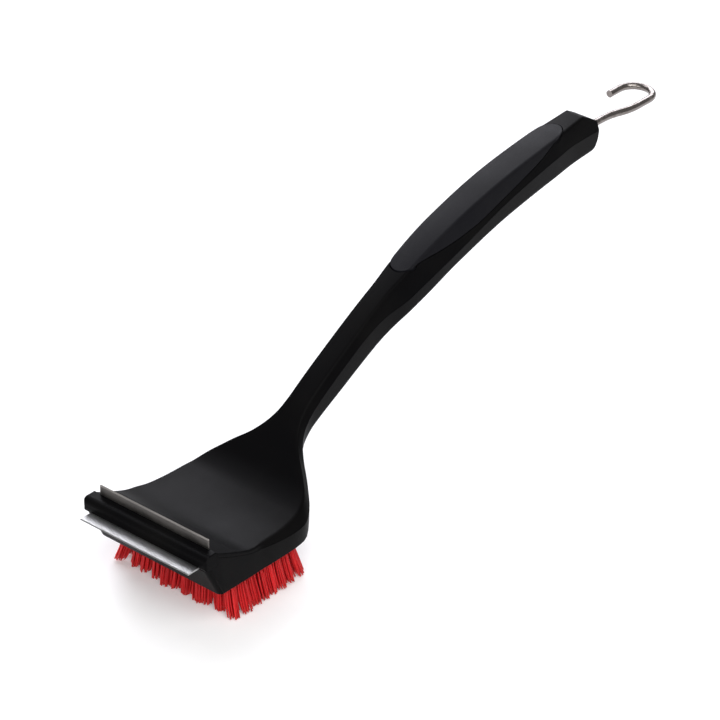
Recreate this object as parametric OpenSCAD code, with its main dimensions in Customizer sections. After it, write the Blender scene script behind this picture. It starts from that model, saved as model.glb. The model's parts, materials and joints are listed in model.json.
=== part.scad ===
// Grill cleaning brush: a long two-shell handle with a hooded head, a nylon bristle
// cartridge that pulls down out of the head, a two-edged steel scraper and a wire hook.
// Millimetres. The bristle tips touch z = 0, +X runs from the head to the hook and the
// brush is symmetric across y = 0 except for the hook. The origin is the tip of the
// middle tuft in the third row.

/* [Show] */

/* [Head] */
// Width of the head over its side walls
head_w = 108; // [104:1:112]
// Height of the head's lower rim above the bristle tips
rim_z = 26; // [24:0.5:28]
// Wall thickness of the head and of the lower shell
wall = 2.4; // [2:0.1:2.8]
// Thickness of the deck that the cartridge seats against
deck_t = 2.4; // [2:0.1:3]
// Depth of the bay for the cartridge, from the rim up to the deck
bay_d = 9; // [8.5:0.1:9.5]
// Depth of the nose in front of the scraper
nose_l = 9; // [8:0.5:9.5]

/* [Bristle cartridge] */
// Rows of tufts, counted front to back
tuft_rows = 8; // [6:1:8]
// Tufts in a row, counted across the head
tuft_cols = 11; // [9:2:11]
// Distance from one row to the next
row_pitch = 8.1; // [8:0.1:9]
// Radius of a tuft where it enters the block
tuft_r = 2.2; // [1.8:0.1:2.3]
// Radius of a tuft at its flared tip
tip_r = 2.9; // [2.4:0.1:3.2]
// Depth of a tuft hole in the block
hole_d = 6; // [5:0.5:6.5]
// Gap all round the block in its bay
bay_gap = 0.4; // [0.3:0.1:0.6]
// Radius of the four pegs that hold the block in the deck
peg_r = 3.8; // [3.4:0.1:4]

/* [Scraper] */
// Thickness of the steel sheet
blade_t = 1.2; // [1:0.1:1.5]
// Length of both scraping edges
blade_w = 95; // [88:1:98]
// Height of the upper edge above the rim
blade_up = 42; // [40:0.5:45]
// Distance that the lower edge reaches in front of the head
blade_out = 11.1; // [8:0.1:14]

/* [Handle] */
// Visible joint line between the two shells
part_gap = 0.3; // [0.2:0.05:0.5]
// Wall thickness of the upper shell along the handle
grip_wall = 4.8; // [4.6:0.1:5.2]
// Depth of the pocket for the soft inlay
inlay_d = 2.2; // [1.8:0.1:2.4]
// Height of the soft inlay above the shell round it
inlay_up = 0.4; // [0:0.1:0.6]
// Width of the groove round the soft inlay
groove = 0.9; // [0.6:0.1:1.2]

/* [Hook] */
// Radius of the hook's wire
wire_r = 2.7; // [2.3:0.1:2.8]
// Radius of the hook's open loop, measured to the middle of the wire
loop_r = 13; // [11:0.1:14]
// Sideways position of the straight shank
shank_y = -3; // [-3:0.1:-2]

/* [Screws] */
// Radius of a screw's shaft
screw_r = 1.5; // [1.25:0.05:1.6]
// Radius of a screw's pan head
pan_r = 2.9; // [2.6:0.1:3]

/* [Hidden] */
$fn = 48;
eps = 0.01;

// ---- Side and plan curves of the two shells: stations of [x, value] ----

// height of the top surface on the middle line
top_line = [[-46, 64], [-42, 62], [-25, 54], [-3, 46.5], [24, 44.6], [45, 46.5], [57, 52],
            [70, 63.2], [84, 76], [102, 90.5], [130, 108.5], [182, 138], [239, 162],
            [302, 178], [386, 189.2], [402, 190.8]];
// half width of the top surface, out to its ridge
edge_line = [[-46, 1], [-4, 1], [8, 0.955], [24, 0.935], [38, 0.905], [48, 0.86], [57, 0.772],
             [66, 0.594], [76, 0.356], [84, 0.235], [92, 0.174], [102, 0.15], [140, 0.145],
             [178, 0.141], [200, 0.168], [235, 0.191], [302, 0.198], [345, 0.191],
             [372, 0.159], [402, 0.132]];
// drop from the ridge to the joint between the shells
drop_line = [[-46, 3], [-4, 3], [24, 5], [45, 7.5], [57, 9.5], [70, 9.5], [84, 8], [102, 7.2],
             [145, 7.6], [165, 9.5], [195, 15.8], [239, 17.3], [302, 13.8], [345, 12],
             [362, 11.8], [378, 13.2], [402, 15.8]];
// how far the joint stands outside the ridge
out_line = [[-46, 0], [-4, 0], [10, 2.6], [24, 3.5], [38, 4.7], [48, 5.2], [57, 4.8], [66, 5.3],
            [73, 6.1], [78, 5.3], [84, 4], [92, 3.1], [130, 2.9], [165, 3.2], [195, 5.3],
            [239, 6], [302, 5.2], [362, 4.1], [402, 5.1]];
// height of the underside above the head's rim
under_line = [[-46, 0], [46, 0], [52, 0.7], [58, 5.2], [66, 13.4], [74, 21], [84, 29.6],
              [92, 36.1], [102, 42.8], [130, 57.6], [163, 74.9], [187, 86.2], [210, 95.6],
              [239, 107.2], [302, 123.3], [363, 131], [402, 133.7]];
// how far the underside stands inside the joint
tuck_line = [[-46, 0], [46, 0.2], [60, 0.6], [84, 0.8], [120, 0.8], [200, 1], [402, 1.2]];
// radius of the underside's edges
belly_line = [[-46, 1.2], [46, 1.2], [70, 2.6], [100, 3.6], [402, 4.2]];
// drop from the ridge to the soft inlay's lower edge
inlay_line = [[202, 0], [209, 1.4], [226, 6.2], [245, 9.8], [265, 11.3], [287, 10.1],
              [309, 7.9], [331, 5.1], [346, 1.5], [352, 0]];
inlay_x = [195, 366];

head_x = -46.2;
blade_x = head_x + nose_l;
tail_x = 397.4;
deck_z = rim_z + bay_d;
deck_top = deck_z + deck_t;
hook_z = 175;
hook_x = 372;
bay_x = [-30, 51.4];
block_z = rim_z + 1;
block_top = deck_z - 0.3;
nose_z = rim_z + 24;
nose_top = rim_z + 34.6;
scraper_z = nose_z + 3.6;
scraper_y = [-34, 0, 34];
peg_at = [[-12, 28], [-12, -28], [40, 28], [40, -28]];
head_screw_at = [[-23, 43], [-23, -43], [57, 22], [57, -22]];
spine_screw_at = [[118, 0], [176, 0], [236, 0], [300, 0], [hook_x, 0]];
eye_r = 3.65 + wire_r;

// ---- Smooth curve through a list of stations ----

function step_of(t, x, i = 0) = i >= len(t) - 2 || x < t[i + 1][0] ? i : step_of(t, x, i + 1);
function rise(t, i) = (t[i + 1][1] - t[i][1]) / (t[i + 1][0] - t[i][0]);
function lean(t, i) =
  i == 0 ? rise(t, 0) :
  i == len(t) - 1 ? rise(t, i - 1) :
  let (a = rise(t, i - 1), b = rise(t, i)) a * b <= 0 ? 0 : 2 * a * b / (a + b);
function curve(t, x) =
  let (i = step_of(t, x), h = t[i + 1][0] - t[i][0], u = (x - t[i][0]) / h, v = 1 - u)
  t[i][1] * v * v * (1 + 2 * u) + t[i + 1][1] * u * u * (3 - 2 * u)
  + h * u * v * (lean(t, i) * v - lean(t, i + 1) * u);

function top_z(x) = curve(top_line, x);
function edge_y(x) = curve(edge_line, x) * head_w / 2;
function drop(x) = curve(drop_line, x);
function joint_z(x) = top_z(x) - drop(x);
function joint_y(x) = edge_y(x) + curve(out_line, x);
function under_z(x) = rim_z + curve(under_line, x);
function facet(x) = atan2(drop(x), curve(out_line, x));
// a wall's vertical size where the shell slopes
function slant(x) = sqrt(1 + pow((top_z(x + 1) - top_z(x - 1)) / 2, 2));
// where the two halves of a screw boss meet, the screw head's seat and the screw's tip
function split(x) = x < 0 ? deck_z + 6 : joint_z(x - 4.4) - part_gap;
function seat_of(x) = x < 0 ? deck_z + 2.6 : under_z(x) + (x == hook_x ? 4.5 : 6);
function tip_of(x) =
  min(joint_z(x) + 7, top_z(x) - (x < 0 ? 3.4 : 2.8) * slant(x) - (x > inlay_x[0] ? inlay_d : 0));
function top_wall(x) = x < 60 ? 2.6 : x > 110 ? grip_wall : 2.6 + (grip_wall - 2.6) * (x - 60) / 50;

function stations(a, b) = concat([a],
  [for (x = [-42 : 4 : 54]) if (x > a && x < b) x],
  [for (x = [57 : 3 : 105]) if (x > a && x < b) x],
  [for (x = [110 : 7 : 400]) if (x > a && x < b) x], [b]);

// an arc of points that rounds corner q between points p and r
function rounded(p, q, r, n = 4) =
  [for (k = [0 : n]) let (u = k / n, v = 1 - u) p * v * v + q * 2 * u * v + r * u * u];
function mirrored(half) = concat(half, [for (k = [len(half) - 1 : -1 : 0]) [-half[k][0], half[k][1]]]);

// closed outline of the upper shell at x, moved inward by t and down past the joint by low
function upper_ring(x, t, low) =
  let (f = facet(x), r = min(1.8, drop(x) / 2.2),
       q = [edge_y(x) - t * tan(f / 2), top_z(x) - t * slant(x)],
       a = [joint_y(x) - t / sin(f), min(joint_z(x) - low, q[1] - 0.1)])
  mirrored(concat([a], rounded(q + r * [cos(f), -sin(f)] * (t > 2 ? 0.1 : 1), q, q - [r, 0])));

// closed outline of the lower shell at x, moved inward by t, its floor no lower than floor_z
function lower_ring(x, t, high, floor_z) =
  let (y = joint_y(x) - t, r = max(curve(belly_line, x) - t, 0.8),
       q = [y - curve(tuck_line, x), max(under_z(x) + t * slant(x), floor_z)],
       a = [y, max(joint_z(x) - part_gap + high, q[1] + r + 0.5)])
  mirrored(concat([a], rounded(q + [0, r], q, q - [r, 0])));

module loft(xs, rings) {
  n = len(rings[0]);
  m = len(xs);
  up = rings[0][0][1] < rings[0][2][1];
  faces = concat(
    [[for (j = [0 : n - 1]) j]],
    [[for (j = [n - 1 : -1 : 0]) (m - 1) * n + j]],
    [for (i = [0 : m - 2], j = [0 : n - 1]) [i * n + j, (i + 1) * n + j, i * n + (j + 1) % n]],
    [for (i = [0 : m - 2], j = [0 : n - 1])
      [i * n + (j + 1) % n, (i + 1) * n + j, (i + 1) * n + (j + 1) % n]]);
  polyhedron(
    points = [for (i = [0 : m - 1], p = rings[i]) [xs[i], p[0], p[1]]],
    faces = up ? faces : [for (f = faces) [for (k = [len(f) - 1 : -1 : 0]) f[k]]],
    convexity = 8);
}

module upper_form(a, b, t = 0, low = 0) {
  xs = stations(a, b);
  loft(xs, [for (x = xs) upper_ring(x, t, low)]);
}

// ---- Shared shapes ----

// the handle's butt, in side view, with its top and bottom corners cut back
module butt_cut() {
  rotate([90, 0, 0])
    linear_extrude(60, center = true)
      polygon([[383, 215], [383, 189.2], [387, 187.7], [tail_x - 1, 182.4], [tail_x, 180.8],
               [tail_x, 169.8], [tail_x - 0.7, 166], [tail_x - 2.6, 162.4], [tail_x - 5.6, 160],
               [385, 158], [385, 150], [410, 150], [410, 215]]);
}

// the space in front of the head for the scraper and its nose strip
module nose_cut() {
  translate([head_x - 5, -head_w / 2 - 5, nose_z]) cube([nose_l + 5, head_w + 10, 40]);
}

// the head's raked front, in side view, and the rounding of its two upright corners
module rake_cut() {
  r = 4;
  a = [-34.4, rim_z];
  b = [head_x + 0.5, nose_z - 1.4];
  for (s = [-1, 1])
    translate([a[0], s * (head_w / 2 - r), a[1]])
      rotate([0, atan2(b[0] - a[0], b[1] - a[1]), 0])
        difference() {
          translate([-1, s > 0 ? 0 : -r - 1, -4]) cube([r + 1, r + 1, norm(b - a) + 5]);
          translate([r, 0, -5]) cylinder(h = norm(b - a) + 7, r = r);
        }
  rotate([90, 0, 0])
    linear_extrude(head_w + 10, center = true)
      polygon([[a[0], rim_z - 1], a, b, [b[0] + 0.2, nose_z + 1], [-70, nose_z + 1],
               [-70, rim_z - 1]]);
}

// plan shape of the cartridge bay, grown by g
module bay_plan(g = 0) {
  y = head_w / 2 - wall + g;
  polygon(concat(
    [[bay_x[0] - g, -y], [30, -y]],
    [for (x = [34 : 4 : 46]) [x, -(joint_y(x) - wall + g)]],
    [[bay_x[1] + g, -(joint_y(bay_x[1]) - wall - 2 + g)],
     [bay_x[1] + g, joint_y(bay_x[1]) - wall - 2 + g]],
    [for (x = [46 : -4 : 34]) [x, joint_y(x) - wall + g]],
    [[30, y], [bay_x[0] - g, y]]));
}

// room for the heads and shafts of the scraper's screws in the head's front wall
module scraper_seats() {
  for (y = scraper_y)
    translate([blade_x - 1, y, scraper_z]) rotate([0, 90, 0]) {
      cylinder(h = 6, r = screw_r + 0.2);
      translate([0, 0, 2]) cylinder(h = 2.3, r = pan_r + 0.2);
    }
}

// room for the hook's eye and shank between the shells
module hook_seat() {
  translate([hook_x, 0, hook_z]) {
    rotate_extrude() translate([eye_r, 0]) circle(wire_r + 0.06);
    translate([4, shank_y, 0]) rotate([0, 90, 0]) cylinder(h = 40, r = wire_r + 0.06);
  }
}

// ---- Shells ----

module upper_shell() {
  color("#1b1b1d")
    difference() {
      union() {
        difference() {
          upper_form(head_x, 402);
          difference() {
            upper_cavity();
            upper_bosses();
          }
        }
        for (p = concat(head_screw_at, spine_screw_at))
          translate([p[0], p[1], split(p[0]) + part_gap])
            cylinder(h = max(joint_z(p[0] - 3.6), joint_z(p[0] + 3.6)) + 0.3 - split(p[0]) - part_gap,
                     r = 3.4);
      }
      difference() {
        inlay_zone(groove);
        upper_form(inlay_x[0] - 6, inlay_x[1] + 6, inlay_d, 30);
      }
      nose_cut();
      rake_cut();
      butt_cut();
      scraper_seats();
      hook_seat();
      for (p = concat(head_screw_at, spine_screw_at))
        translate([p[0], p[1], split(p[0]) - 3])
          cylinder(h = tip_of(p[0]) - split(p[0]) + 3, r = screw_r + 0.05);
    }
}

module upper_cavity() {
  xs = stations(-33, 391);
  loft(xs, [for (x = xs) upper_ring(x, top_wall(x), 2)]);
}

module upper_bosses() {
  for (p = concat(head_screw_at, spine_screw_at))
    translate([p[0], p[1], split(p[0])]) cylinder(h = 40, r = 3.4);
  translate([384, -20, 160]) cube([20, 40, 40]);
}

module lower_shell() {
  color("#19191b")
    difference() {
      union() {
        difference() {
          lower_form();
          difference() {
            lower_cavity();
            lower_bosses();
          }
          translate([0, 0, rim_z - 2]) linear_extrude(bay_d + 2) bay_plan();
        }
        deck_bosses();
      }
      nose_cut();
      rake_cut();
      butt_cut();
      hook_seat();
      lower_holes();
    }
}

module lower_form() {
  xs = stations(head_x, 402);
  loft(xs, [for (x = xs) lower_ring(x, 0, 0, 0)]);
}

module lower_cavity() {
  xs = stations(blade_x + 3.2, 391);
  loft(xs, [for (x = xs) lower_ring(x, wall + 0.3, 3, deck_top)]);
}

// the handle's screw bosses and the cross wall in front of the butt
module lower_bosses() {
  for (p = spine_screw_at)
    translate([p[0], p[1], split(p[0]) - 25]) cylinder(h = 25, r = p[0] == hook_x ? 3.4 : 4.4);
  translate([hook_x, 0, 150]) cylinder(h = hook_z - wire_r - 0.1 - 150, r = 8);
  translate([384, -20, 150]) cube([20, 40, 60]);
}

// the bosses for the pegs and the head's screws
module deck_bosses() {
  for (p = peg_at)
    translate([p[0], p[1], deck_z + 0.5]) cylinder(h = 6.3, r = peg_r + 2.4);
  for (p = head_screw_at)
    translate([p[0], p[1], deck_z + 0.5]) cylinder(h = split(p[0]) - deck_z - 0.5, r = 4.3);
}

module lower_holes() {
  for (p = peg_at)
    translate([p[0], p[1], 0]) cylinder(h = deck_z + 20, r = peg_r + 0.08);
  for (p = concat(head_screw_at, spine_screw_at))
    translate([p[0], p[1], seat_of(p[0]) - 20]) {
      cylinder(h = 20, r = pan_r + 0.2);
      cylinder(h = 50, r = screw_r + 0.2);
    }
  scraper_seats();
}

// ---- Soft inlay ----

// region of the grip that the inlay takes, grown by g
module inlay_zone(g) {
  a = inlay_x[0] + 8;
  b = inlay_x[1] - 15;
  for (end = [[a, inlay_x[0] - g - a], [b, inlay_x[1] + g - b]])
    translate([end[0], 0, 120])
      linear_extrude(85)
        polygon(concat(
          [[-sign(end[1]) * 2, -edge_y(end[0]) - g]],
          [for (k = [-9 : 9]) [end[1] * cos(k * 10), (edge_y(end[0]) + g) * sin(k * 10)]],
          [[-sign(end[1]) * 2, edge_y(end[0]) + g]]));
  rotate([90, 0, 0])
    linear_extrude(60, center = true)
      polygon(concat(
        [for (k = [0 : 25]) let (x = a + k * (b - a) / 25) [x, top_z(x) - curve(inlay_line, x) - 0.2 - g]],
        [[b, 210], [a, 210]]));
}

module grip_inlay() {
  color("#2a2a2c")
    difference() {
      intersection() {
        inlay_zone(0);
        upper_form(inlay_x[0] - 6, inlay_x[1] + 6, -inlay_up);
      }
      upper_form(inlay_x[0] - 6, inlay_x[1] + 6, inlay_d - 0.05, 30);
    }
}

// ---- Hook ----

// wire that starts along +X and follows steps: [length] runs straight, [radius, angle]
// bends to the left, or to the right where the angle is negative
module bent_wire(steps, i = 0) {
  if (i < len(steps)) {
    s = steps[i];
    if (len(s) == 1) {
      translate([-0.3, 0, 0]) rotate([0, 90, 0]) cylinder(h = s[0] + 0.6, r = wire_r);
      translate([s[0], 0, 0]) bent_wire(steps, i + 1);
    } else {
      translate([0, sign(s[1]) * s[0], 0]) {
        rotate([0, 0, s[1] > 0 ? -90 : 90 + s[1]])
          rotate_extrude(angle = abs(s[1])) translate([s[0], 0]) circle(wire_r + eps);
        rotate([0, 0, s[1]]) translate([0, -sign(s[1]) * s[0], 0]) bent_wire(steps, i + 1);
      }
    }
  }
}

module hanging_hook() {
  color("#b9b7b2")
    translate([hook_x, 0, hook_z]) {
      rotate_extrude() translate([eye_r, 0]) circle(wire_r + eps);
      translate([5.5, shank_y, 0])
        bent_wire([[34.5], [50, -19.7], [50, 19.7], [13], [loop_r, 180], [11.5]]);
    }
}

// ---- Scraper ----

module scraper_blade() {
  z0 = nose_z + 0.1;
  x1 = head_x - blade_out;
  color("#c4c4c2")
    difference() {
      rotate([90, 0, 0])
        linear_extrude(blade_w, center = true)
          polygon([[x1, z0 + blade_t / 2], [x1 + 0.6, z0], [blade_x - 1.6, z0], [blade_x - 0.5, z0 + 0.5],
                   [blade_x - 0.1, z0 + 1.6], [blade_x - 0.1, rim_z + blade_up - 0.6],
                   [blade_x - 0.1 - blade_t / 2, rim_z + blade_up],
                   [blade_x - 0.1 - blade_t, rim_z + blade_up - 0.6], [blade_x - 0.1 - blade_t, z0 + 1.6],
                   [blade_x - 0.5 - blade_t, z0 + blade_t], [x1 + 0.6, z0 + blade_t]]);
      for (y = scraper_y)
        translate([blade_x - 4, y, scraper_z]) rotate([0, 90, 0]) cylinder(h = 6, r = screw_r + 0.2);
    }
}

// plan or front outline of the nose strip: half width w, depth d, front corners rounded by r
function strip_end(w, d, r) =
  mirrored(concat([[-w, 0]], rounded([-w, d - r], [-w, d], [r - w, d], 6)));

module nose_strip() {
  x0 = blade_x - 0.2 - blade_t;
  x1 = x0 - 9.4;
  z0 = nose_z + 0.2 + blade_t;
  w = head_w / 2 - 0.05;
  color("#161618")
    difference() {
      intersection() {
        rotate([90, 0, 0])
          linear_extrude(head_w, center = true)
            polygon(concat(
              [[blade_x - 0.05, nose_z + 0.05], [blade_x - 0.05, nose_top - 0.6]],
              [[blade_x - 0.65, nose_top], [x0 - 2, nose_top]],
              rounded([x0 - 3.6, nose_top], [x1, nose_top], [x1, z0 + 3.6], 9),
              rounded([x1, z0 + 2.4], [x1, nose_z + 0.05], [x1 + 2.6, nose_z + 0.05], 5)));
        translate([-30, 0, nose_z]) rotate([0, 0, 90]) linear_extrude(20)
          polygon(strip_end(w, -30 - x1, 2));
        translate([-70, 0, nose_z]) rotate([90, 0, 90]) linear_extrude(50)
          polygon(strip_end(w, nose_top - nose_z, 1));
      }
      rotate([90, 0, 0])
        linear_extrude(blade_w + 0.6, center = true)
          polygon([[blade_x + 1, nose_top + 1], [x0, nose_top + 1], [x0, z0 + 0.6], [x0 - 0.6, z0],
                   [x1 - 1, z0], [x1 - 1, nose_z - 1], [blade_x + 1, nose_z - 1]]);
      for (y = scraper_y)
        translate([x0 - 7, y, scraper_z]) rotate([0, 90, 0]) cylinder(h = 8, r = screw_r + 0.05);
    }
}

// ---- Screws ----

// a pan-head screw: its head hangs below z = 0 and its shaft rises to z = l
module screw(l) {
  difference() {
    translate([0, 0, -2]) cylinder(h = 2, r = pan_r);
    translate([0, 0, -2 - eps]) cylinder(h = 1.1, r = 1.1);
  }
  translate([0, 0, -0.5]) cylinder(h = l + 0.5, r = screw_r);
}

// a screw that holds the shells together at the place p
module shell_screw(p) {
  z = seat_of(p[0]);
  color("#8c8c8a") translate([p[0], p[1], z]) screw(tip_of(p[0]) - z - 0.5);
}

module head_screws() {
  for (p = head_screw_at) shell_screw(p);
}

module handle_screws() {
  for (p = spine_screw_at) if (p[0] < hook_x) shell_screw(p);
}

module hook_screw() {
  shell_screw([hook_x, 0]);
}

module scraper_screws() {
  color("#8c8c8a")
    for (y = scraper_y)
      translate([blade_x + 1, y, scraper_z]) rotate([0, -90, 0]) screw(nose_l);
}

// ---- Bristle cartridge ----

function row_x(i) = (i - 3) * row_pitch;
// half the length of a row, shorter near the head's rounded rear corners
function row_span(x) = (head_w / 2 - wall - 7.6) * sqrt(1 - pow(max(0, x - 20) / 60, 2));
function row_y(x) =
  let (h = (tuft_cols - 1) / 2) [for (j = [-h : h]) j * row_span(x) / h];

module brush_block() {
  color("#232325")
    difference() {
      union() {
        translate([0, 0, block_z]) linear_extrude(block_top - block_z) bay_plan(-bay_gap);
        for (p = peg_at)
          translate([p[0], p[1], block_top - 1]) {
            cylinder(h = 7.2, r = peg_r);
            translate([0, 0, 7.2]) cylinder(h = 0.8, r1 = peg_r, r2 = peg_r - 0.8);
          }
      }
      for (i = [1 : tuft_rows], y = row_y(row_x(i)))
        translate([row_x(i), y, block_z - 1]) cylinder(h = hole_d + 1, r = tuft_r + 0.05, $fn = 24);
    }
}

module tuft_row(i) {
  color("#c62320")
    for (y = row_y(row_x(i)))
      translate([row_x(i), y, 0]) {
        cylinder(h = block_z - 4, r1 = tip_r, r2 = tuft_r, $fn = 24);
        translate([0, 0, block_z - 4]) cylinder(h = hole_d + 2.7, r = tuft_r, $fn = 24);
      }
}

// flat wire anchors that pin each tuft in its hole
module tuft_staples() {
  color("#a8a8a4")
    for (i = [1 : tuft_rows], y = row_y(row_x(i)))
      translate([row_x(i) - 1.3, y - 0.2, block_z + hole_d - 1.15]) cube([2.6, 0.4, 1.1]);
}

// ---- Assembly ----

upper_shell();
lower_shell();
grip_inlay();
hanging_hook();
scraper_blade();
nose_strip();
scraper_screws();
head_screws();
handle_screws();
hook_screw();
brush_block();
tuft_staples();
for (i = [1 : tuft_rows])
  tuft_row(i);
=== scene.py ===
import json
import math
import random

import bmesh
import bpy
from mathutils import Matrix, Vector


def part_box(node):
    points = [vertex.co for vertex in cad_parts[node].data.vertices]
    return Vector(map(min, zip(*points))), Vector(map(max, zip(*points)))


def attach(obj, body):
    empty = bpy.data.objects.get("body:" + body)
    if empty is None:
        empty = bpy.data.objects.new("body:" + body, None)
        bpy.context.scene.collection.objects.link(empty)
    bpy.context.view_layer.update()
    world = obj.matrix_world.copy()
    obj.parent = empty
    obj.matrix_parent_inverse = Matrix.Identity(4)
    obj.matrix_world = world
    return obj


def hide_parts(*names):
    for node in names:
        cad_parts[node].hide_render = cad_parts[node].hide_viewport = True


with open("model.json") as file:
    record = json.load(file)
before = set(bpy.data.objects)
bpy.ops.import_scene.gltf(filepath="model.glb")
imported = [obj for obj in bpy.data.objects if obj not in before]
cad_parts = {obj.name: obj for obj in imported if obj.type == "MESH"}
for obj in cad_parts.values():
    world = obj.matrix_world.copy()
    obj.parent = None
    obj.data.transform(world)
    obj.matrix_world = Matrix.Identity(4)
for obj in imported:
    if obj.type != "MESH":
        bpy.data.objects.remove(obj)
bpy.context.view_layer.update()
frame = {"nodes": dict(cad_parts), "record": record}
nodes = frame["nodes"]
MM = 0.001
GOLDEN_ANGLE = 2.39996
CARTRIDGE = "bristle_cartridge"

# ---- Materials ----


class Shader:
    """A node material built round one Principled BSDF, in object coordinates in metres."""

    def __init__(self, name, color, roughness, metallic=0.0, **sockets):
        self.material = bpy.data.materials.new(name)
        self.material.use_nodes = True
        self.tree = self.material.node_tree
        self.bsdf = self.tree.nodes["Principled BSDF"]
        self.place = self.node("ShaderNodeTexCoord").outputs["Object"]
        self.bsdf.inputs["Base Color"].default_value = (*color, 1)
        self.bsdf.inputs["Roughness"].default_value = roughness
        self.bsdf.inputs["Metallic"].default_value = metallic
        for socket, value in sockets.items():
            self.bsdf.inputs[socket.replace("_", " ")].default_value = value

    def node(self, kind, **values):
        made = self.tree.nodes.new(kind)
        for key, value in values.items():
            if hasattr(made, key):
                setattr(made, key, value)
            else:
                made.inputs[key].default_value = value
        return made

    def link(self, out, into):
        self.tree.links.new(out, into)

    def noise(self, scale, detail=3.0, stretch=(1, 1, 1), rough=0.5):
        """Noise with features about 1 / scale metres long, drawn out where stretch is small."""
        mapping = self.node("ShaderNodeMapping")
        mapping.inputs["Scale"].default_value = stretch
        self.link(self.place, mapping.inputs["Vector"])
        made = self.node("ShaderNodeTexNoise")
        made.inputs["Scale"].default_value = scale
        made.inputs["Detail"].default_value = detail
        made.inputs["Roughness"].default_value = rough
        self.link(mapping.outputs["Vector"], made.inputs["Vector"])
        return made.outputs["Fac"]

    def remap(self, value, low, high, to_low=0.0, to_high=1.0):
        made = self.node("ShaderNodeMapRange")
        limits = {"From Min": low, "From Max": high, "To Min": to_low, "To Max": to_high}
        for socket, number in limits.items():
            made.inputs[socket].default_value = number
        self.link(value, made.inputs["Value"])
        return made.outputs["Result"]

    def math(self, operation, a, b):
        made = self.node("ShaderNodeMath", operation=operation)
        for socket, value in zip(made.inputs, (a, b)):
            if isinstance(value, (int, float)):
                socket.default_value = value
            else:
                self.link(value, socket)
        return made.outputs["Value"]

    def attribute(self, name):
        return self.node("ShaderNodeAttribute", attribute_name=name).outputs["Fac"]

    def axis(self, index):
        split = self.node("ShaderNodeSeparateXYZ")
        self.link(self.place, split.inputs["Vector"])
        return split.outputs[index]

    def color(self, steps):
        """Base colour built in layers: (colour, mask) over the shader's own colour."""
        below = None
        for color, mask in steps:
            mix = self.node("ShaderNodeMix", data_type="RGBA")
            if below is None:
                mix.inputs["A"].default_value = self.bsdf.inputs["Base Color"].default_value
            else:
                self.link(below, mix.inputs["A"])
            mix.inputs["B"].default_value = (*color, 1)
            self.link(mask, mix.inputs["Factor"])
            below = mix.outputs["Result"]
        self.link(below, self.bsdf.inputs["Base Color"])

    def roughness(self, value):
        self.link(value, self.bsdf.inputs["Roughness"])

    def bump(self, layers):
        """Bump from (height, depth in metres) layers, one on top of the other."""
        normal = None
        for height, depth in layers:
            made = self.node("ShaderNodeBump")
            made.inputs["Distance"].default_value = depth
            self.link(height, made.inputs["Height"])
            if normal is not None:
                self.link(normal, made.inputs["Normal"])
            normal = made.outputs["Normal"]
        self.link(normal, self.bsdf.inputs["Normal"])


def shell_plastic():
    s = Shader("shell_plastic", (0.0024, 0.0023, 0.0026), 0.40, Specular_IOR_Level=0.029)
    grain, cloud = s.noise(1900, 4), s.noise(22, 3)
    s.color([((0.0038, 0.0036, 0.0036), s.remap(cloud, 0.42, 0.68)),
             ((0.0016, 0.0016, 0.0019), s.remap(grain, 0.55, 0.8))])
    s.roughness(s.math("ADD", s.remap(cloud, 0.3, 0.7, 0.36, 0.46), s.remap(grain, 0.3, 0.7, -0.03, 0.05)))
    s.bump([(cloud, 0.00018), (grain, 0.00005)])
    return s.material


def grip_rubber():
    s = Shader("grip_rubber", (0.0044, 0.0044, 0.0062), 0.50, Specular_IOR_Level=0.095)
    grain, cloud = s.noise(1200, 5, rough=0.65), s.noise(30, 3)
    s.color([((0.0066, 0.0065, 0.0080), s.remap(cloud, 0.4, 0.7)),
             ((0.0030, 0.0030, 0.0040), s.remap(grain, 0.56, 0.78))])
    s.roughness(s.math("ADD", s.remap(cloud, 0.3, 0.7, 0.48, 0.58), s.remap(grain, 0.3, 0.7, -0.05, 0.07)))
    s.bump([(cloud, 0.00015), (grain, 0.00009)])
    return s.material


# Heights in metres between which the blade turns to stand straight up (painted shade darkens it above
# them), and where the painted highlight along its ground top edge starts
UPRIGHT_Z = (0.052, 0.054)
EDGE_Z = (0.0668, 0.0674)


def blade_steel():
    """Bright drawn steel with painted shade where it stands behind the nose, but for its top edge, which
    gets a painted highlight.
    """
    s = Shader("blade_steel", (0.42, 0.42, 0.42), 0.32, 1.0)
    streak = s.noise(260, 4, (9, 0.5, 9), 0.6)
    stain, grit = s.noise(45, 4), s.noise(900, 2)
    # painted shade: mask for the blade's standing face above UPRIGHT_Z
    upright_shade = s.remap(s.axis(2), *UPRIGHT_Z)
    # painted highlight: mask for a lighter band along the blade's ground top edge
    edge_highlight = s.remap(s.axis(2), *EDGE_Z)
    s.color([((0.30, 0.30, 0.295), s.remap(streak, 0.45, 0.68)),
             ((0.24, 0.22, 0.20), s.remap(stain, 0.52, 0.72, 0.0, 0.6)),
             # painted shade on the blade's standing face
             ((0.115, 0.105, 0.096), s.math("MULTIPLY", upright_shade, 0.85)),
             # painted highlight along the blade's top edge
             ((0.55, 0.52, 0.49), s.math("MULTIPLY", edge_highlight, 0.7))])
    s.roughness(s.math("ADD", s.remap(streak, 0.3, 0.7, 0.30, 0.46), s.remap(stain, 0.45, 0.75, 0.0, 0.16)))
    s.bump([(streak, 0.00004), (grit, 0.00002)])
    return s.material


def hook_steel():
    s = Shader("hook_steel", (0.23, 0.21, 0.198), 0.24, 1.0)
    drawn, spot = s.noise(420, 3, (0.4, 3, 3)), s.noise(160, 4)
    s.color([((0.14, 0.118, 0.105), s.remap(drawn, 0.45, 0.7, 0, 0.85)),
             ((0.50, 0.46, 0.43), s.remap(spot, 0.60, 0.72, 0, 0.5))])
    s.roughness(s.math("ADD", s.remap(drawn, 0.3, 0.7, 0.16, 0.30), s.remap(spot, 0.55, 0.75, 0.0, 0.2)))
    s.bump([(drawn, 0.00003), (spot, 0.00004)])
    return s.material


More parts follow.
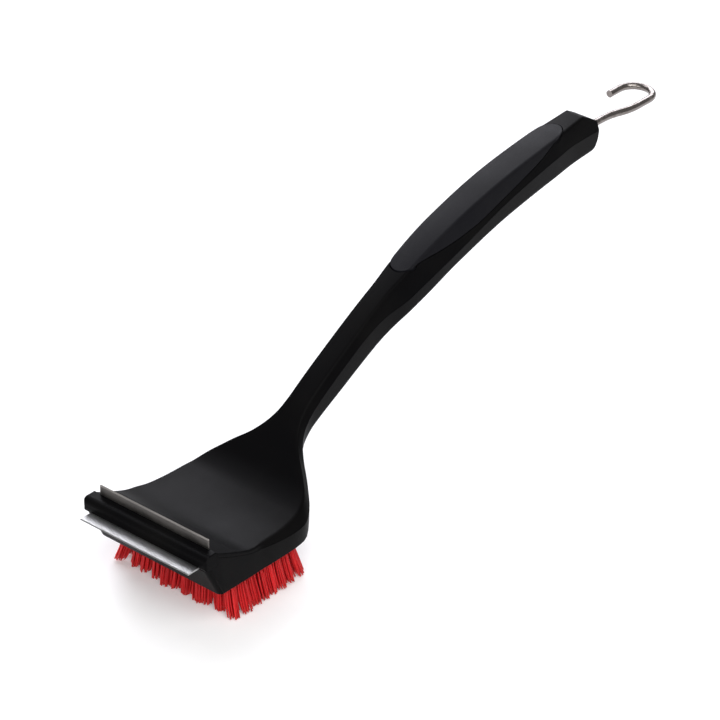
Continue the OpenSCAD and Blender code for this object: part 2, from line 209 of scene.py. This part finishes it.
def screw_steel():
    s = Shader("screw_steel", (0.50, 0.50, 0.49), 0.34, 1.0)
    cloud, grit = s.noise(300, 4), s.noise(1800, 2)
    s.color([((0.36, 0.35, 0.33), s.remap(cloud, 0.45, 0.7))])
    s.roughness(s.remap(cloud, 0.3, 0.7, 0.26, 0.46))
    s.bump([(cloud, 0.00003), (grit, 0.00002)])
    return s.material


def staple_wire():
    s = Shader("staple_wire", (0.58, 0.57, 0.54), 0.28, 1.0)
    cloud = s.noise(700, 3)
    s.color([((0.42, 0.40, 0.37), s.remap(cloud, 0.45, 0.7))])
    s.roughness(s.remap(cloud, 0.3, 0.7, 0.2, 0.4))
    s.bump([(cloud, 0.00002)])
    return s.material


def block_plastic():
    s = Shader("block_plastic", (0.0045, 0.0045, 0.0048), 0.46, Specular_IOR_Level=0.12)
    grain, cloud = s.noise(1500, 4), s.noise(35, 3)
    s.color([((0.0070, 0.0068, 0.0066), s.remap(cloud, 0.42, 0.7))])
    s.roughness(s.remap(cloud, 0.3, 0.7, 0.42, 0.54))
    s.bump([(cloud, 0.00012), (grain, 0.00005)])
    return s.material


def bristle_nylon():
    s = Shader("bristle_nylon", (0.51, 0.010, 0.012), 0.46, Specular_IOR_Level=0.22, Subsurface_Weight=0.25)
    s.bsdf.inputs["Subsurface Radius"].default_value = (0.0016, 0.0003, 0.0003)
    s.bsdf.inputs["Subsurface Scale"].default_value = 1.0
    tone, along = s.attribute("tone"), s.attribute("along")
    cloud, drawn = s.noise(180, 3), s.noise(500, 3, (3, 3, 0.25))
    s.color([((0.38, 0.006, 0.008), s.remap(tone, 0.55, 1.0, 0, 0.55)),
             ((0.67, 0.020, 0.022), s.remap(tone, 0.45, 0.0, 0, 0.8)),
             ((0.72, 0.06, 0.05), s.math("MULTIPLY", s.remap(along, 0.84, 1.0), 0.35)),
             ((0.40, 0.008, 0.010), s.remap(cloud, 0.55, 0.75, 0, 0.35))])
    s.roughness(s.remap(drawn, 0.3, 0.7, 0.40, 0.56))
    s.bump([(drawn, 0.00006)])
    return s.material


MAKERS = {
    "shell_plastic": shell_plastic,
    "grip_rubber": grip_rubber,
    "hook_steel": hook_steel,
    "blade_steel": blade_steel,
    "screw_steel": screw_steel,
    "block_plastic": block_plastic,
    "staple_wire": staple_wire,
    "bristle_nylon": bristle_nylon,
}
MATERIALS = {name: make() for name, make in MAKERS.items()}


# ---- Carried-over CAD nodes ----


def finish_node(name, slot, angle=30.0):
    """Gives a CAD node its material and smooth shading that keeps edges sharper than angle."""
    o = nodes[name]
    for k in range(max(1, len(o.material_slots))):
        if not o.material_slots:
            o.data.materials.append(None)
        o.material_slots[k].material = MATERIALS[slot]
    o.data.polygons.foreach_set("use_smooth", [True] * len(o.data.polygons))
    weld = o.modifiers.new("weld", "WELD")
    weld.merge_threshold = 0.00002
    split = o.modifiers.new("split", "EDGE_SPLIT")
    split.split_angle = math.radians(angle)


for row in frame["record"]["subparts"]:
    finish_node(row["node"], row["material_slot"])


# ---- Bristles ----

# Lengths in mm
COLUMNS = 11
FILAMENTS = 26
FILAMENT_R = 0.62
TUFT_R = 2.1
TUFT_INSET = 2.9
BLOCK_Z = 27.0
SOCKET_DEPTH = 3.0
LONGEST_CUT = 3.0
SIDES, RINGS = 6, 6
# How far each row's tips lean: to the front row by row, to the rear past REAR_X, and outwards
FRONT_LEAN = (4.4, 2.0, 0.5, 0, 0, 0, 0, 0)
REAR_X, REAR_RUN, REAR_LEAN = 22.0, 24.0, 2.5
NEAR_LEAN = 1.0
OUTWARD_LEAN = 6.5


def filament(bm, layers, root, tip, bend, tone, rng):
    """One tube from root to tip that bows sideways by bend, with a cut end; points in mm."""
    tone_layer, along_layer = layers
    rings = []
    cut = Vector((rng.uniform(-0.35, 0.35), rng.uniform(-0.35, 0.35), 0))
    turn = rng.uniform(0, math.tau)
    for k in range(RINGS + 1):
        u = k / RINGS
        mid = root.lerp(tip, u) + bend * (4 * u * (1 - u))
        r = FILAMENT_R * (1.0 if k < RINGS else 0.86)
        ring = []
        for j in range(SIDES):
            a = turn + math.tau * j / SIDES
            off = Vector((math.cos(a), math.sin(a), 0)) * r
            lift = cut.dot(off) if k == RINGS else 0
            v = bm.verts.new((mid + off + Vector((0, 0, lift))) * MM)
            v[tone_layer], v[along_layer] = tone, u
            ring.append(v)
        rings.append(ring)
    for a, b in zip(rings, rings[1:]):
        for j in range(SIDES):
            bm.faces.new((a[j], a[(j + 1) % SIDES], b[(j + 1) % SIDES], b[j])).smooth = True
    bm.faces.new(rings[-1])
    bm.faces.new(rings[0][::-1])


def tuft_row(index):
    """A row of tufts: each is a dense bundle that flares towards a slightly uneven tip."""
    rng = random.Random(100 + index)
    low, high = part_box(f"tuft_row_{index + 1}")
    x, span = (low.x + high.x) / 2 / MM, high.y / MM - TUFT_INSET
    rear = max(0.0, (x - REAR_X) / REAR_RUN)
    bm = bmesh.new()
    layers = (bm.verts.layers.float.new("tone"), bm.verts.layers.float.new("along"))
    for c in range(COLUMNS):
        side = 2 * c / (COLUMNS - 1) - 1
        y = span * side
        lean_x = 0.3 + REAR_LEAN * rear ** 2 - FRONT_LEAN[index] + NEAR_LEAN * max(0.0, -side)
        lean = Vector((lean_x, OUTWARD_LEAN * side ** 3 + rng.gauss(0, 0.7), 0))
        lean.x += rng.gauss(0, 0.6)
        spread = rng.uniform(1.55, 1.9)
        cut_z = abs(rng.gauss(0, 0.5 if index == 0 else 0.8))
        for f in range(FILAMENTS):
            r = TUFT_R * math.sqrt((f + 0.5) / FILAMENTS)
            a = f * GOLDEN_ANGLE + rng.uniform(-0.2, 0.2)
            off = Vector((math.cos(a), math.sin(a), 0)) * r
            root = Vector((x, y, BLOCK_Z + SOCKET_DEPTH)) + off * 0.95
            tip = Vector((x, y, 0)) + off * (spread + rng.uniform(-0.15, 0.25)) + lean
            stray = (rng.gauss(0, 0.28), rng.gauss(0, 0.28))
            tip += Vector((*stray, min(LONGEST_CUT, cut_z + abs(rng.gauss(0, 0.4)))))
            bend = Vector((rng.gauss(0, 0.25), rng.gauss(0, 0.25), 0)) + off * 0.5 - lean * 0.18
            filament(bm, layers, root, tip, bend, rng.random(), rng)
    mesh = bpy.data.meshes.new(f"bristles_{index + 1}")
    bm.normal_update()
    bm.to_mesh(mesh)
    bm.free()
    mesh.materials.append(MATERIALS["bristle_nylon"])
    o = bpy.data.objects.new(f"bristles_{index + 1}", mesh)
    bpy.context.scene.collection.objects.link(o)
    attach(o, CARTRIDGE)
    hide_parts(f"tuft_row_{index + 1}")


for i in range(8):
    tuft_row(i)


# ---- Floor, light and camera ----


def floor():
    bm = bmesh.new()
    bmesh.ops.create_grid(bm, x_segments=8, y_segments=8, size=6.0)
    mesh = bpy.data.meshes.new("floor")
    bm.to_mesh(mesh)
    bm.free()
    s = Shader("floor_paper", (0.90, 0.90, 0.90), 0.85, Specular_IOR_Level=0.1, Emission_Strength=0.14)
    s.bsdf.inputs["Emission Color"].default_value = (1, 1, 1, 1)
    grain = s.noise(60, 3)
    s.color([((0.88, 0.88, 0.885), s.remap(grain, 0.4, 0.7))])
    mesh.materials.append(s.material)
    o = bpy.data.objects.new("floor", mesh)
    o.location.z = -0.0006
    bpy.context.scene.collection.objects.link(o)


def area_light(name, at, aim, size, power, color=(1, 1, 1)):
    data = bpy.data.lights.new(name, "AREA")
    data.shape, data.size, data.size_y = "RECTANGLE", size[0], size[1]
    data.energy, data.color = power, color
    o = bpy.data.objects.new(name, data)
    o.location = at
    o.rotation_euler = (Vector(aim) - Vector(at)).to_track_quat("-Z", "Y").to_euler()
    bpy.context.scene.collection.objects.link(o)


def lights():
    middle = (0.15, 0, 0.1)
    area_light("back_panel", (2.3, 2.0, 1.9), middle, (3.6, 1.7), 108, (0.93, 0.93, 1.0))
    area_light("overhead", (0.3, 2.4, 3.3), middle, (1.5, 1.1), 22, (0.93, 0.93, 1.0))
    area_light("key", (-1.2, -2.2, 2.9), middle, (3.0, 3.0), 105)
    area_light("front", (-2.6, -0.6, 1.3), middle, (2.0, 1.4), 28)
    world = bpy.data.worlds.new("studio")
    world.use_nodes = True
    world.node_tree.nodes["Background"].inputs["Color"].default_value = (1, 1, 1, 1)
    world.node_tree.nodes["Background"].inputs["Strength"].default_value = 0.32
    bpy.context.scene.world = world


def camera():
    data = bpy.data.cameras.new("camera")
    data.lens, data.sensor_width = 170.0, 36.0
    o = bpy.data.objects.new("camera", data)
    o.location = (-1.2993, -1.2816, 1.2504)
    o.rotation_euler = (math.radians(59.155), 0, math.radians(-48.695))
    bpy.context.scene.collection.objects.link(o)
    bpy.context.scene.camera = o


floor()
lights()
camera()
bpy.context.scene.view_settings.view_transform = "Standard"
